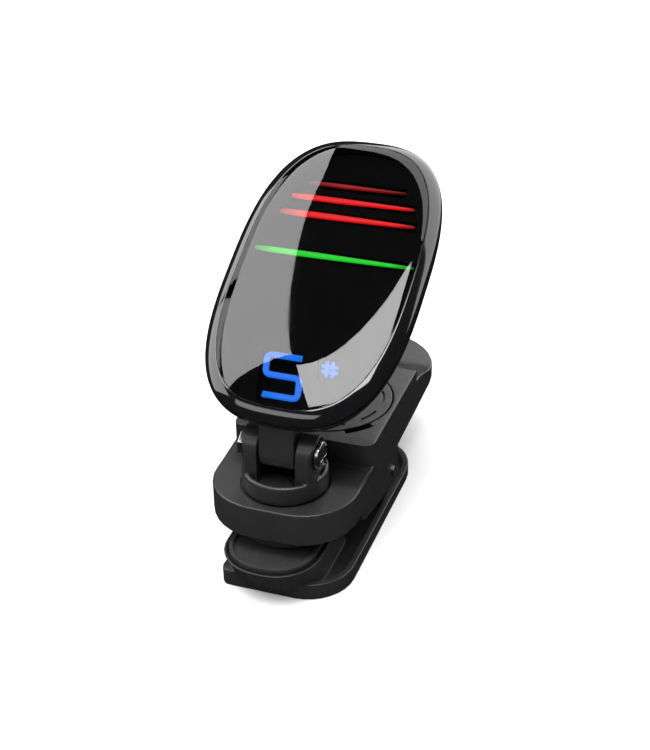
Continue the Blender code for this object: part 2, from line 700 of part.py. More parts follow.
def contacts():
    """A flat leaf under the cell, and an angled leaf that stands in the tray's notch against its rim."""
    half = CONTACT_WIDTH / 2
    reach = CELL_RADIUS * 0.7
    leaf = prism("contact_negative", box_outline(0, 0, half, reach), LEAF_TOP - CONTACT_THICKNESS, LEAF_TOP)
    paint(leaf, STEEL, 0.3, 1.0)
    face = -(CELL_RADIUS + GAP)
    foot = LEAF_TOP - CONTACT_THICKNESS
    angle = [
        (face, CELL_TOP - CELL_STEP),
        (face - CONTACT_THICKNESS, CELL_TOP - CELL_STEP),
        (face - CONTACT_THICKNESS, foot),
        (-BAY_END + GAP, foot),
        (-BAY_END + GAP, foot - CONTACT_THICKNESS),
        (face, foot - CONTACT_THICKNESS),
    ]
    paint(bar("contact_positive", angle, -half, half), STEEL, 0.3, 1.0)


def piezo_sensor():
    bottom = underside(SWIVEL_Y + PIEZO_RADIUS) + BASE_THICKNESS + GAP
    disc = turned("piezo_sensor", [(PIEZO_RADIUS, bottom), (PIEZO_RADIUS, bottom + PIEZO_THICKNESS)])
    paint(place(disc, (0, SWIVEL_Y, 0)), BRASS, 0.35, 1.0)


def battery_cover():
    """A round cap with two lugs, a coin slot, and a broken ring of marks near its edge."""
    cover = turned("battery_cover", [(COVER_RADIUS, COVER_BOTTOM), (COVER_RADIUS, BLOCK_TOP)])
    lugs = []
    for middle in (90, 270):
        plan = sector(
            COVER_RADIUS - OVERLAP, COVER_RADIUS + LUG_REACH, middle - LUG_HALF_ANGLE, middle + LUG_HALF_ANGLE
        )
        lugs.append(prism(f"lug_{middle}", plan, COVER_BOTTOM, COVER_BOTTOM + LUG_HEIGHT - GAP))
    high = BLOCK_TOP + OVERLAP
    marks = [
        prism(f"mark_{start}", sector(*MARK_RING, start, start + MARK_ANGLE), BLOCK_TOP - MARK_DEPTH, high)
        for start in range(-75, 285, MARK_PITCH)
    ]
    coin = box_outline(0, 0, SLOT_HALF_LENGTH, SLOT_HALF_WIDTH)
    slot = prism("coin_slot", coin, BLOCK_TOP - 2 * MARK_DEPTH, high)
    join(cover, *lugs)
    cut(cover, slot, *marks)
    paint(cover, BLACK_PLASTIC, 0.4)


# ---- Swivel fork --------------------------------------------------------------------------------------


def fork_ear(side, axis):
    """One ear of the fork, trimmed to the turntable's circle, with a round recess for a screw or nut."""
    centre_y = -TILT_SETBACK
    top = [(centre_y + y, TILT_Z + z) for y, z in arc(0, 0, FORK_EAR_RADIUS, 0, 180, 2 * ARC_STEPS)]
    foot = TURNTABLE_TOP - TURNTABLE_DISH - OVERLAP
    profile = top + [(centre_y - FORK_EAR_RADIUS, foot), (centre_y + FORK_EAR_RADIUS, foot)]
    ear = bar(f"fork_ear_{side}", profile, side * FORK_IN, side * FORK_OUT)
    trim = TURNTABLE_RADIUS - TURNTABLE_RIM / 4
    keep_inside(ear, place(turned(f"fork_round_{side}", [(trim, 0), (trim, TILT_Z * 2)]), parent=axis))
    recess = turned(f"fork_recess_{side}", [
        (TILT_HEAD_RADIUS + GAP, FORK_OUT - TILT_RECESS),
        (TILT_HEAD_RADIUS + GAP, FORK_OUT + OVERLAP),
    ])
    place(recess, (0, centre_y, TILT_Z), (0, 90 * side, 0), axis)
    cut(ear, recess)
    return place(ear, parent=axis)


def swivel_yoke(axis):
    stem_bottom = DECK_UNDER
    yoke = turned("swivel_yoke", [
        (STEM_RADIUS, stem_bottom),
        (STEM_RADIUS, TURNTABLE_BOTTOM),
        (TURNTABLE_RADIUS - TURNTABLE_CHAMFER, TURNTABLE_BOTTOM),
        (TURNTABLE_RADIUS, TURNTABLE_BOTTOM + TURNTABLE_CHAMFER),
        (TURNTABLE_RADIUS, TURNTABLE_TOP - TURNTABLE_CHAMFER),
        (TURNTABLE_RADIUS - TURNTABLE_CHAMFER, TURNTABLE_TOP),
        (TURNTABLE_RADIUS - TURNTABLE_RIM, TURNTABLE_TOP),
        (TURNTABLE_RADIUS - TURNTABLE_RIM, TURNTABLE_TOP - TURNTABLE_DISH),
    ])
    join(yoke, *[fork_ear(side, axis) for side in (-1, 1)])
    wide = FORK_OUT + OVERLAP
    pin_hole = turned("yoke_pin_hole", [(PIN_RADIUS + RUNNING, -wide), (PIN_RADIUS + RUNNING, wide)])
    place(pin_hole, (0, -TILT_SETBACK, TILT_Z), (0, 90, 0), axis)
    shank = SCREW_SHANK + GAP
    screw_hole = turned("yoke_screw_hole", [(shank, stem_bottom - OVERLAP), (shank, TURNTABLE_BOTTOM)])
    place(screw_hole, parent=axis)
    cut(yoke, pin_hole, screw_hole)
    paint(place(yoke, parent=axis), BLACK_PLASTIC, 0.35)


def swivel_fixings(axis):
    top = DECK_UNDER - GAP
    hole = SCREW_SHANK + GAP
    washer = turned("swivel_washer", [
        (hole, top - WASHER_THICKNESS),
        (WASHER_RADIUS, top - WASHER_THICKNESS),
        (WASHER_RADIUS, top),
        (hole, top),
    ], closed=True)
    paint(place(washer, parent=axis), STEEL, 0.3, 1.0)
    seat = top - WASHER_THICKNESS - GAP
    length = TURNTABLE_BOTTOM - GAP - seat
    screw = cross_screw("swivel_screw", SCREW_SHANK, length, SCREW_HEAD, SCREW_HEAD_HEIGHT)
    place(screw, (0, 0, seat), parent=axis)


def tilt_fixings(axis):
    """The cross-slot screw through fork and knuckle, headed on the right, and its nut on the left."""
    seat = FORK_OUT - TILT_RECESS + GAP
    shank = 2 * FORK_OUT - TILT_RECESS
    screw = cross_screw("tilt_screw", PIN_RADIUS, shank, TILT_HEAD_RADIUS, TILT_HEAD_HEIGHT)
    place(screw, (seat, -TILT_SETBACK, TILT_Z), (0, -90, 0), axis)
    corners = [math.radians(60 * i) for i in range(6)]
    radius = TILT_HEAD_RADIUS * 0.9
    hexagon = [(radius * math.cos(a), radius * math.sin(a)) for a in corners]
    nut = prism("tilt_nut", hexagon, 0, TILT_HEAD_HEIGHT)
    place(nut, (-seat, -TILT_SETBACK, TILT_Z), (0, -90, 0), axis)
    bore = turned("nut_bore", [(PIN_RADIUS + GAP, -OVERLAP), (PIN_RADIUS + GAP, TILT_HEAD_HEIGHT + OVERLAP)])
    place(bore, parent=nut)
    paint(cut(nut, bore), STEEL, 0.3, 1.0)


# ---- Head ---------------------------------------------------------------------------------------------
# The head's own frame: X to the right, Y up its length, Z out of its glossy face. Its widest line is z = 0.


def head_ring(inset, height):
    """The head's outline, a squared ellipse, moved in by inset and set at a height."""
    a = HEAD_A - inset
    b = HEAD_B - inset
    power = 2 / HEAD_SQUARENESS
    ring = []
    for i in range(HEAD_STEPS):
        angle = 2 * math.pi * (i + 0.5) / HEAD_STEPS
        c = math.cos(angle)
        s = math.sin(angle)
        ring.append((math.copysign(a * abs(c) ** power, c), math.copysign(b * abs(s) ** power, s), height))
    return ring


def dome(rounding, height, start, end, steps, inset=0.0):
    """Rings round an edge that curves in by rounding as it climbs to height. start and end are 0 to 1."""
    rings = []
    for i in range(steps + 1):
        angle = math.pi / 2 * (start + (end - start) * i / steps)
        rings.append(head_ring(inset + rounding * (1 - math.cos(angle)), height * math.sin(angle)))
    return rings


def share_at_inset(rounding, inset):
    """How far round a dome's edge a given inset lies, from 0 to 1."""
    return math.acos(1 - inset / rounding) * 2 / math.pi


def share_at_height(height, z):
    """How far up a dome's edge a given height lies, from 0 to 1."""
    return math.asin(z / height) * 2 / math.pi


def rod(name, x, y, radius, low, high):
    return place(turned(name, [(radius, low), (radius, high)]), (x, y, 0))


def screw_places():
    return [(x * SCREW_SIDE, y * SCREW_END) for y in (1, -1) for x in (-1, 1)]


def knuckle():
    """The lug that the tilt screw passes through: a hull from the screw's axis into the lower wall."""
    hub = [(PIN_UP + y, z - PIN_DEPTH) for y, z in arc(0, 0, KNUCKLE_RADIUS, 0, 360 - 360 / 24, 23)]
    front_root = (-(HEAD_B - 0.5 * HEAD_WALL), -0.9 * MM)
    back_root = (-(HEAD_B - 3.4 * MM), -3.8 * MM)
    lug = bar("knuckle", hub + [front_root, back_root], -KNUCKLE_WIDTH / 2, KNUCKLE_WIDTH / 2)
    build = bmesh.new()
    for vertex in lug.data.vertices:
        build.verts.new(vertex.co)
    hull = bmesh.ops.convex_hull(build, input=build.verts)
    bmesh.ops.delete(build, geom=hull["geom_interior"], context="VERTS")
    build.to_mesh(lug.data)
    build.free()
    return lug


def head_rear_shell(head):
    start = share_at_height(HEAD_BACK, SEAM)
    inner_back = HEAD_BACK - BACK_WALL
    inner_round = BACK_ROUNDING - HEAD_WALL
    inner_start = share_at_height(inner_back, SEAM)
    outside = list(reversed(dome(BACK_ROUNDING, -HEAD_BACK, start, 1, 10)))
    inside = dome(inner_round, -inner_back, inner_start, 1, 8, HEAD_WALL)
    shell = loft("head_rear_shell", outside + inside)
    join(shell, place(knuckle(), parent=head))
    hole = PIN_RADIUS + RUNNING
    bore = turned("knuckle_bore", [(hole, -KNUCKLE_WIDTH), (hole, KNUCKLE_WIDTH)])
    cutters = [
        place(bore, (0, PIN_UP, -PIN_DEPTH), (0, 90, 0), head),
        rod("button_hole", 0, 0, BUTTON_RADIUS + GAP, -HEAD_BACK - OVERLAP, -inner_back + OVERLAP),
    ]
    for i, (x, y) in enumerate(screw_places()):
        cutters.append(rod(f"head_seat_{i}", x, y, SCREW_HEAD + GAP, -HEAD_BACK - OVERLAP, SEAT))
        cutters.append(rod(f"head_hole_{i}", x, y, SCREW_SHANK + GAP, -HEAD_BACK, -SEAM))
    for cutter in cutters:
        cutter.parent = head
    cut(shell, *cutters)
    paint(place(shell, parent=head), GLOSS_BLACK, 0.15)


def head_bezel(head):
    start = share_at_height(HEAD_FRONT, SEAM)
    end = share_at_inset(FRONT_ROUNDING, BEZEL_WIDTH)
    rings = dome(FRONT_ROUNDING, HEAD_FRONT, start, end, 4) + [head_ring(BEZEL_WIDTH, SEAM)]
    bezel = loft("head_bezel", rings, closed=True)
    paint(place(bezel, parent=head), GLOSS_BLACK, 0.12)


def display_lens(head):
    edge = BEZEL_WIDTH + GAP
    start = share_at_inset(FRONT_ROUNDING, edge)
    lens = loft("display_lens", [head_ring(edge, GAP)] + dome(FRONT_ROUNDING, HEAD_FRONT, start, 1, 7))
    paint(place(lens, parent=head), (0.01, 0.01, 0.012), 0.03)


def bar_outline(half, thickness):
    """A light bar that is thickest in the middle."""
    tip = thickness * 0.15
    middle = thickness / 2
    return [(-half, -tip), (0, -middle), (half, -tip), (half, tip), (0, middle), (-half, tip)]


def slanted(outline, place_on_face):
    """Leans an outline and moves it to its place."""
    x0, y0 = place_on_face
    return [(x0 + x - NOTE_SLANT * y, y0 + y) for x, y in outline]


def note_outline():
    """One continuous stroke of a five-bar numeral."""
    w = NOTE_SIZE[0] / 2
    h = NOTE_SIZE[1] / 2
    t = NOTE_STROKE
    m = t / 2
    return [
        (-w, -h), (w, -h), (w, m), (-w + t, m), (-w + t, h - t), (w, h - t),
        (w, h), (-w, h), (-w, -m), (w - t, -m), (w - t, -h + t), (-w, -h + t),
    ]


def light_pieces():
    """(name, outline, window outline, colour) of every piece that glows behind the window."""
    red = (0.9, 0.01, 0.02)
    bars = [("meter_bar_green", GREEN_BAR, (0.02, 0.7, 0.03))]
    bars += [(f"meter_bar_red_{i + 1}", size, red) for i, size in enumerate(RED_BARS)]
    pieces = []
    for name, (half, up), color in bars:
        outline = [(x, y + up) for x, y in bar_outline(half, BAR_THICKNESS)]
        pieces.append((name, outline, box_outline(0, up, half + GAP, BAR_THICKNESS / 2 + GAP), color))
    w = NOTE_SIZE[0] / 2
    h = NOTE_SIZE[1] / 2
    window = slanted(box_outline(0, 0, w + GAP, h + GAP), NOTE_PLACE)
    pieces.append(("note_digit", slanted(note_outline(), NOTE_PLACE), window, (0.02, 0.2, 0.9)))
    return pieces


def sharp_strokes():
    """The four strokes of the sharp sign, as outlines."""
    half = SHARP_SIZE / 2
    stroke = SHARP_STROKE / 2
    offset = SHARP_SIZE * 0.22
    across = [box_outline(0, offset * side, half, stroke) for side in (-1, 1)]
    upright = [box_outline(offset * side, 0, stroke, half * SHARP_STRETCH) for side in (-1, 1)]
    return [slanted(outline, SHARP_PLACE) for outline in across + upright]


def note_sharp(head, low, high):
    strokes = [prism(f"sharp_stroke_{i}", outline, low, high) for i, outline in enumerate(sharp_strokes())]
    sign = strokes[0]
    sign.name = "note_sharp"
    for stroke in strokes[1:]:
        place(stroke, parent=head)
    join(sign, *strokes[1:])
    paint(place(sign, parent=head), (0.02, 0.2, 0.9), 0.4)


def light_frame(head):
    """The black mask behind the window, with a light well for each glowing piece and four screw posts."""
    outline = [p[:2] for p in head_ring(BEZEL_WIDTH + 2 * GAP, 0)]
    frame = prism("light_frame", outline, FRAME_BOTTOM, FRAME_TOP)
    posts = []
    wells = []
    for i, (x, y) in enumerate(screw_places()):
        post = (POST_RADIUS - GAP, FRAME_POST_END, FRAME_BOTTOM + OVERLAP)
        pilot = (SCREW_SHANK + GAP, FRAME_POST_END - OVERLAP, FRAME_BOTTOM)
        posts.append(rod(f"frame_post_{i}", x, y, *post))
        wells.append(rod(f"frame_pilot_{i}", x, y, *pilot))
    for name, outline, window, color in light_pieces():
        wells.append(prism(f"{name}_well", window, FRAME_BOTTOM - OVERLAP, FRAME_TOP + OVERLAP))
        piece = prism(name, outline, FRAME_BOTTOM, 0)
        paint(place(piece, parent=head), color, 0.4)
    reach = SHARP_SIZE / 2 * SHARP_STRETCH + GAP
    window = slanted(box_outline(0, 0, SHARP_SIZE / 2 + GAP, reach), SHARP_PLACE)
    wells.append(prism("sharp_well", window, FRAME_BOTTOM - OVERLAP, FRAME_TOP + OVERLAP))
    note_sharp(head, FRAME_BOTTOM, 0)
    for tool in posts + wells:
        tool.parent = head
    join(frame, *posts)
    cut(frame, *wells)
    paint(place(frame, parent=head), GLOSS_BLACK, 0.5)


def electronics(head):
    board = prism("circuit_board", [p[:2] for p in head_ring(BOARD_SIDE, 0)], BOARD_BOTTOM, BOARD_TOP)
    holes = [
        rod(f"board_hole_{i}", x, y, POST_RADIUS, BOARD_BOTTOM - OVERLAP, BOARD_TOP + OVERLAP)
        for i, (x, y) in enumerate(screw_places())
    ]
    for hole in holes:
        hole.parent = head
    paint(place(cut(board, *holes), parent=head), BOARD_GREEN, 0.45)
    top = BOARD_BOTTOM - GAP
    half, thickness, up = CHIP
    chip = prism("controller_chip", box_outline(0, up, half, half), top - thickness, top)
    paint(place(chip, parent=head), (0.03, 0.03, 0.03), 0.5)
    switch = prism("button_switch", box_outline(0, 0, SWITCH_HALF, SWITCH_HALF), SWITCH_BOTTOM, top)
    paint(place(switch, parent=head), STEEL, 0.35, 1.0)


def power_button(head):
    """A round cap that stands proud of the back, with a flange that keeps it in."""
    low = -HEAD_BACK - BUTTON_PROUD
    button = turned("power_button", [
        (BUTTON_RADIUS - BUTTON_CHAMFER, low),
        (BUTTON_RADIUS, low + BUTTON_CHAMFER),
        (BUTTON_RADIUS, FLANGE_LOW),
        (BUTTON_RADIUS + FLANGE_REACH, FLANGE_LOW),
        (BUTTON_RADIUS + FLANGE_REACH, FLANGE_HIGH),
    ])
    paint(place(button, parent=head), BLACK_RUBBER, 0.5)


def head_screws(head):
    for i, (x, y) in enumerate(screw_places()):
        shank = FRAME_BOTTOM - GAP - (SEAT - GAP)
        screw = cross_screw(f"head_screw_{i + 1}", SCREW_SHANK, shank, SCREW_HEAD, SCREW_HEAD_HEIGHT)
        place(screw, (x, y, SEAT - GAP), parent=head)


def main():
    for old in list(bpy.data.objects):
        bpy.data.objects.remove(old)
    lower_arm()
    lower_pad()
    hinge_pin()
    torsion_spring()
    upper_arm_shell()
    upper_arm_base()
    base_screws()
    upper_pad()
    battery_tray()
    coin_cell()
    contacts()
    piezo_sensor()
    battery_cover()
    swivel = empty("swivel_axis", (0, SWIVEL_Y, 0))
    swivel_yoke(swivel)
    swivel_fixings(swivel)
    tilt_fixings(swivel)
    tilt = empty("tilt_axis", (0, TILT_Y, TILT_Z), (90 - HEAD_LEAN, 0, 0))
    head = empty("head_centre", (0, -PIN_UP, PIN_DEPTH), parent=tilt)
    head_rear_shell(head)
    head_bezel(head)
    display_lens(head)
    light_frame(head)
    electronics(head)
    power_button(head)
    head_screws(head)


main()
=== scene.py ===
# %% [markdown]
# # A clip-on tuner
# The tuner is a small sprung clip with a glossy display head on a swivelling, tilting fork. Its mechanical
# model is loaded first as a fixed frame. The cells below then give each piece its finished surface: a new
# surface where the frame's facets would show, and the frame's own shape with softened edges elsewhere.

import json
import math

import bmesh
import bpy
import numpy as np
from mathutils import Matrix, Vector


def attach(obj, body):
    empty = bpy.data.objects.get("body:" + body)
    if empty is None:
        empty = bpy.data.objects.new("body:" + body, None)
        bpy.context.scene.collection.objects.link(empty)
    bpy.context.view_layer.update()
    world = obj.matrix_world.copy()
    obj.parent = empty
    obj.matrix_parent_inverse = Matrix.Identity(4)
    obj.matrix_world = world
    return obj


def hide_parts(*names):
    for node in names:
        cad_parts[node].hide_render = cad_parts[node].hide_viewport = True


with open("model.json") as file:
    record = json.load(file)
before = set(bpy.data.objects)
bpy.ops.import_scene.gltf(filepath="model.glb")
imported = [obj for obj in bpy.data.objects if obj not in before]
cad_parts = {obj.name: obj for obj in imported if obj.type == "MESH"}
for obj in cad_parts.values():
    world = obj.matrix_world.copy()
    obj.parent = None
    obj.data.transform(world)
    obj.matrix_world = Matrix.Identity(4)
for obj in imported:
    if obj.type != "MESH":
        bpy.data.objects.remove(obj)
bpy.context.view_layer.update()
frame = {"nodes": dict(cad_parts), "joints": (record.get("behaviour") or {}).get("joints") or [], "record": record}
MM = 0.001
joints = {joint["name"]: joint for joint in frame["joints"]}

# %% [markdown]
# ## Camera
# The view is from the front, a little to the right, and well above, so the head's face and the clip's
# deck both show. A longer lens keeps the perspective gentle. It could be aimed with a constraint, but a
# matrix built from its three axes says exactly where it looks, and lets it lean by about a degree.

# %% Camera
VIEW_TURN = math.radians(20.32)
VIEW_DROP = math.radians(33.30)
VIEW_ROLL = math.radians(-1.26)
VIEW_DISTANCE = 240.3 * MM
VIEW_AIM = Vector((0, -10 * MM, 15 * MM))


def camera_axes(turn, drop, roll):
    """Right, up and backward axes of a camera that looks down by drop from a compass turn, then rolls."""
    back = Vector((math.sin(turn) * math.cos(drop), -math.cos(turn) * math.cos(drop), math.sin(drop)))
    flat_right = Vector((math.cos(turn), math.sin(turn), 0))
    flat_up = back.cross(flat_right)
    right = math.cos(roll) * flat_right + math.sin(roll) * flat_up
    return right, back.cross(right), back


lens = bpy.data.cameras.new("camera")
lens.lens = 67.3
lens.sensor_width = 36
lens.shift_x = 0.0219
lens.shift_y = 0.1013
lens.clip_start = 0.01
camera = bpy.data.objects.new("camera", lens)
right, up, back = camera_axes(VIEW_TURN, VIEW_DROP, VIEW_ROLL)
stand = Matrix.Translation(VIEW_AIM + back * VIEW_DISTANCE)
camera.matrix_world = stand @ Matrix((right, up, back)).transposed().to_4x4()
bpy.context.scene.collection.objects.link(camera)
bpy.context.scene.camera = camera
print("camera stands at", [round(x, 3) for x in camera.matrix_world.translation])

# %% [markdown]
# ## Floor and studio light
# A glossy black head shows almost nothing of its own colour: it shows the room. So the lights are
# placed by what they draw on the head. The left one fills the left third of the face with grey, the
# front one lights its lower right corner, and the dark gap between them leaves the display black. Four
# dimmer ones carry the light on towards the rim. The last only adds soft light from the front, and no
# reflection shows it. The floor is a plain pale sheet that the same lights burn out to white. It is left
# out of reflections, so its white does not show in the clip's dark walls.

# %% Floor, room and softboxes
scene = bpy.context.scene
scene.view_settings.view_transform = "Standard"
room = bpy.data.worlds.new("room")
room.use_nodes = True
room.node_tree.nodes["Background"].inputs["Color"].default_value = (0.9, 0.93, 1.0, 1)
room.node_tree.nodes["Background"].inputs["Strength"].default_value = 0.02
scene.world = room

floor_mesh = bpy.data.meshes.new("floor")
floor_mesh.from_pydata([(-3, -3, 0), (3, -3, 0), (3, 3, 0), (-3, 3, 0)], [], [(0, 1, 2, 3)])
floor = bpy.data.objects.new("floor", floor_mesh)
scene.collection.objects.link(floor)
floor.visible_glossy = False


def softbox(name, corner, across, along, size, radiance, in_gloss=True):
    """A rectangular light with one corner and its two edge directions given, as seen from below.

    Its power is radiance x pi x area, so radiance alone says how bright its mirror image is.
    """
    width, height = size
    x_axis = Vector(across).normalized()
    y_axis = (Vector(along) - Vector(along).dot(x_axis) * x_axis).normalized()
    middle = Vector(corner) + x_axis * width / 2 + y_axis * height / 2
    z_axis = x_axis.cross(y_axis)
    if z_axis.dot(middle) < 0:
        x_axis, y_axis, width, height = y_axis, x_axis, height, width
        z_axis = x_axis.cross(y_axis)
    data = bpy.data.lights.new(name, "AREA")
    data.shape = "RECTANGLE"
    data.size, data.size_y = width, height
    data.energy = radiance * math.pi * width * height
    light = bpy.data.objects.new(name, data)
    light.matrix_world = Matrix.Translation(middle) @ Matrix((x_axis, y_axis, z_axis)).transposed().to_4x4()
    light.visible_camera = False
    light.visible_glossy = in_gloss
    scene.collection.objects.link(light)
    return light


LEFT_EDGE = (-0.358, 0.818, 0.45)       # a direction that two of the lights have an edge along
softbox("softbox_left", (-0.407, 0.028, 1.277), LEFT_EDGE, (-0.785, -0.525, 0.33), (2.6, 1.7), 6.0)
softbox("softbox_side", (-2.38, 0.58, 2.64), (0.29, -0.78, -0.55), (-0.55, 0.34, -0.76), (2.2, 1.6), 3.2)
softbox("softbox_side_back", (-2.45, 0.75, 2.73), LEFT_EDGE, (-0.508, 0.233, -0.827), (1.8, 1.6), 3.2)
softbox("softbox_front", (-0.401, -0.021, 1.304), (0.921, 0.314, 0.23), (0.386, -0.661, -0.643),
        (0.69, 0.7), 9.5)
softbox("softbox_low", (-0.95, -0.80, 1.00), (1.0, -0.28, 0.0), (-0.1, -0.45, -0.5), (1.15, 0.35), 2.6)
softbox("softbox_back", (0.278, 0.245, 1.283), (-0.729, 0.509, -0.458), (0.53, -0.005, -0.848),
        (1.0, 1.0), 2.6)
softbox("softbox_fill", (-0.8, -1.5, 1.1), (1, 0, 0), (0, 1, 0.1), (1.6, 1.1), 2.6, in_gloss=False)

# %% [markdown]
# ## Finishes
# Moulded plastic is never one flat value. The clip's satin black has a fine spark-eroded grain that
# breaks up its highlights, the rubber has a coarser, duller skin, and the head's gloss carries a faint
# orange-peel and smudges that only change its roughness. Each finish is a small node tree on object
# coordinates, so the pattern stays with the piece.

# %% Node helpers
def new_finish(name, color, roughness, metallic=0.0, coat=0.0, specular=0.5):
    """A material with a Principled shader, and the node tree and shader to build on."""
    material = bpy.data.materials.new(name)
    material.use_nodes = True
    tree = material.node_tree
    shader = tree.nodes["Principled BSDF"]
    shader.inputs["Base Color"].default_value = (*color, 1)
    shader.inputs["Roughness"].default_value = roughness
    shader.inputs["Metallic"].default_value = metallic
    shader.inputs["Coat Weight"].default_value = coat
    shader.inputs["Coat Roughness"].default_value = 0.03
    shader.inputs["Specular IOR Level"].default_value = specular
    return material, tree, shader


def noise(tree, scale, detail=3.0, rough=0.5):
    """A noise texture on object coordinates. scale is in features per metre."""
    place = tree.nodes.new("ShaderNodeTexCoord")
    texture = tree.nodes.new("ShaderNodeTexNoise")
    texture.inputs["Scale"].default_value = scale
    texture.inputs["Detail"].default_value = detail
    texture.inputs["Roughness"].default_value = rough
    tree.links.new(place.outputs["Object"], texture.inputs["Vector"])
    return texture.outputs["Fac"]


def spread(tree, source, low, high, start=0.3, end=0.7):
    """Maps a value from start..end to low..high."""
    ramp = tree.nodes.new("ShaderNodeMapRange")
    ramp.inputs["From Min"].default_value = start
    ramp.inputs["From Max"].default_value = end
    ramp.inputs["To Min"].default_value = low
    ramp.inputs["To Max"].default_value = high
    tree.links.new(source, ramp.inputs["Value"])
    return ramp.outputs["Result"]


def mix_color(tree, source, first, second):
    """Blends two colours by a value."""
    mix = tree.nodes.new("ShaderNodeMix")
    mix.data_type = "RGBA"
    mix.inputs["A"].default_value = (*first, 1)
    mix.inputs["B"].default_value = (*second, 1)
    tree.links.new(source, mix.inputs["Factor"])
    return mix.outputs["Result"]


def mottle(tree, shader, source, first, second):
    """Drives the shader's base colour between two tones."""
    tree.links.new(mix_color(tree, source, first, second), shader.inputs["Base Color"])


def vary_roughness(tree, shader, source, low, high):
    """Drives the shader's roughness from low to high, so smudges show only in what it reflects."""
    tree.links.new(spread(tree, source, low, high), shader.inputs["Roughness"])


def bump(tree, shader, source, depth, strength=1.0, edge=0.0):
    """Raises the surface by depth metres where source is 1, and rounds crisp edges by edge metres."""
    node = tree.nodes.new("ShaderNodeBump")
    node.inputs["Strength"].default_value = strength
    node.inputs["Distance"].default_value = depth
    tree.links.new(source, node.inputs["Height"])
    if edge:
        rounding = tree.nodes.new("ShaderNodeBevel")
        rounding.samples = 6
        rounding.inputs["Radius"].default_value = edge
        tree.links.new(rounding.outputs["Normal"], node.inputs["Normal"])
    tree.links.new(node.outputs["Normal"], shader.inputs["Normal"])


# %% [markdown]
# ## Satin clip plastic
# The clip is moulded in a tool with a fine grain, so it shines softly. The grain is a bump of
# hundredths of a millimetre. Where a piece keeps its crisp frame edges, the finish also rounds them.

# %% Satin black clip plastic
def satin_plastic(name="satin_black_plastic", edge=0.0):
    material, tree, shader = new_finish(name, (0.015, 0.015, 0.0155), 0.36)
    mottle(tree, shader, noise(tree, 220, 2), (0.013, 0.013, 0.0135), (0.018, 0.018, 0.0185))
    vary_roughness(tree, shader, noise(tree, 900, 4), 0.30, 0.42)
    bump(tree, shader, noise(tree, 5200, 3, 0.6), 0.03 * MM, 0.35, edge)
    return material


# %% [markdown]
# ## Rubber, gloss, metal and light
# The pads are dull rubber and the head is polished. The screws, the pin and the spring are plated, and
# the pick-up disc is brass. The bars and the note give out their own light, which is simpler than a
# lamp behind each.

# %% Rubber, gloss, metal and small finishes
def soft_rubber():
    material, tree, shader = new_finish("black_rubber", (0.016, 0.016, 0.016), 0.75, specular=0.3)
    mottle(tree, shader, noise(tree, 500, 4), (0.012, 0.012, 0.012), (0.024, 0.024, 0.023))
    vary_roughness(tree, shader, noise(tree, 1400, 4), 0.62, 0.85)
    bump(tree, shader, noise(tree, 3800, 4, 0.7), 0.06 * MM, 0.5)
    return material


INK_DARK = (0.003, 0.003, 0.0035)       # the two tones of the head's black
INK_PALE = (0.006, 0.006, 0.0065)


def gloss_black():
    """The bezel: polished black under a clear coat."""
    material, tree, shader = new_finish("gloss_black", (0.004, 0.004, 0.0045), 0.06, coat=0.6)
    vary_roughness(tree, shader, noise(tree, 160, 5), 0.042, 0.096)
    mottle(tree, shader, noise(tree, 90, 3), INK_DARK, INK_PALE)
    bump(tree, shader, noise(tree, 420, 1), 0.004 * MM, 0.2)
    return material


def gloss_shell():
    """The back of the head: the same black, a little less polished, with no clear coat."""
    material, tree, shader = new_finish("gloss_black_back", (0.004, 0.004, 0.0045), 0.16, specular=0.22)
    vary_roughness(tree, shader, noise(tree, 160, 5), 0.12, 0.2)
    mottle(tree, shader, noise(tree, 90, 3), INK_DARK, INK_PALE)
    return material


def dull_mask():
    """The mask behind the window, textured so that it throws nothing back."""
    material, tree, shader = new_finish("dull_black_mask", (0.002, 0.002, 0.002), 0.8, specular=0.05)
    mottle(tree, shader, noise(tree, 900, 3), (0.0015, 0.0015, 0.0015), (0.003, 0.003, 0.003))
    bump(tree, shader, noise(tree, 4000, 3), 0.02 * MM, 0.4)
    return material


def metal(name, color, roughness, scale=2600):
    material, tree, shader = new_finish(name, color, roughness, metallic=1.0)
    dark = tuple(c * 0.82 for c in color)
    mottle(tree, shader, noise(tree, 700, 4), dark, color)
    vary_roughness(tree, shader, noise(tree, scale, 4), roughness * 0.7, roughness * 1.5)
    bump(tree, shader, noise(tree, scale, 2), 0.002 * MM, 0.15)
    return material


def lit(name, color, glow, fade=None):
    """A piece lit from behind. With fade, (start, end) in metres off the middle, it dims to its ends."""
    material, tree, shader = new_finish(name, tuple(c * 0.1 for c in color), 0.5)
    shader.inputs["Emission Strength"].default_value = glow
    tone = mix_color(tree, noise(tree, 600, 2), tuple(c * 0.8 for c in color), color)
    tree.links.new(tone, shader.inputs["Emission Color"])
    if fade:
        place = tree.nodes.new("ShaderNodeTexCoord")
        split = tree.nodes.new("ShaderNodeSeparateXYZ")
        away = tree.nodes.new("ShaderNodeMath")
        away.operation = "ABSOLUTE"
        tree.links.new(place.outputs["Object"], split.inputs["Vector"])
        tree.links.new(split.outputs["X"], away.inputs[0])
        strength = spread(tree, away.outputs[0], glow, glow * 0.12, *fade)
        tree.links.new(strength, shader.inputs["Emission Strength"])
    return material


def board_mask():
    """The board's black solder mask, with a fine mottle."""
    material, tree, shader = new_finish("board_black_mask", (0.002, 0.003, 0.002), 0.7, specular=0.05)
    fleck = spread(tree, noise(tree, 1500, 1), 0, 1, 0.48, 0.52)
    mottle(tree, shader, fleck, (0.0012, 0.0018, 0.0014), (0.002, 0.003, 0.0022))
    bump(tree, shader, noise(tree, 1500, 1), 0.03 * MM, 0.4)
    return material


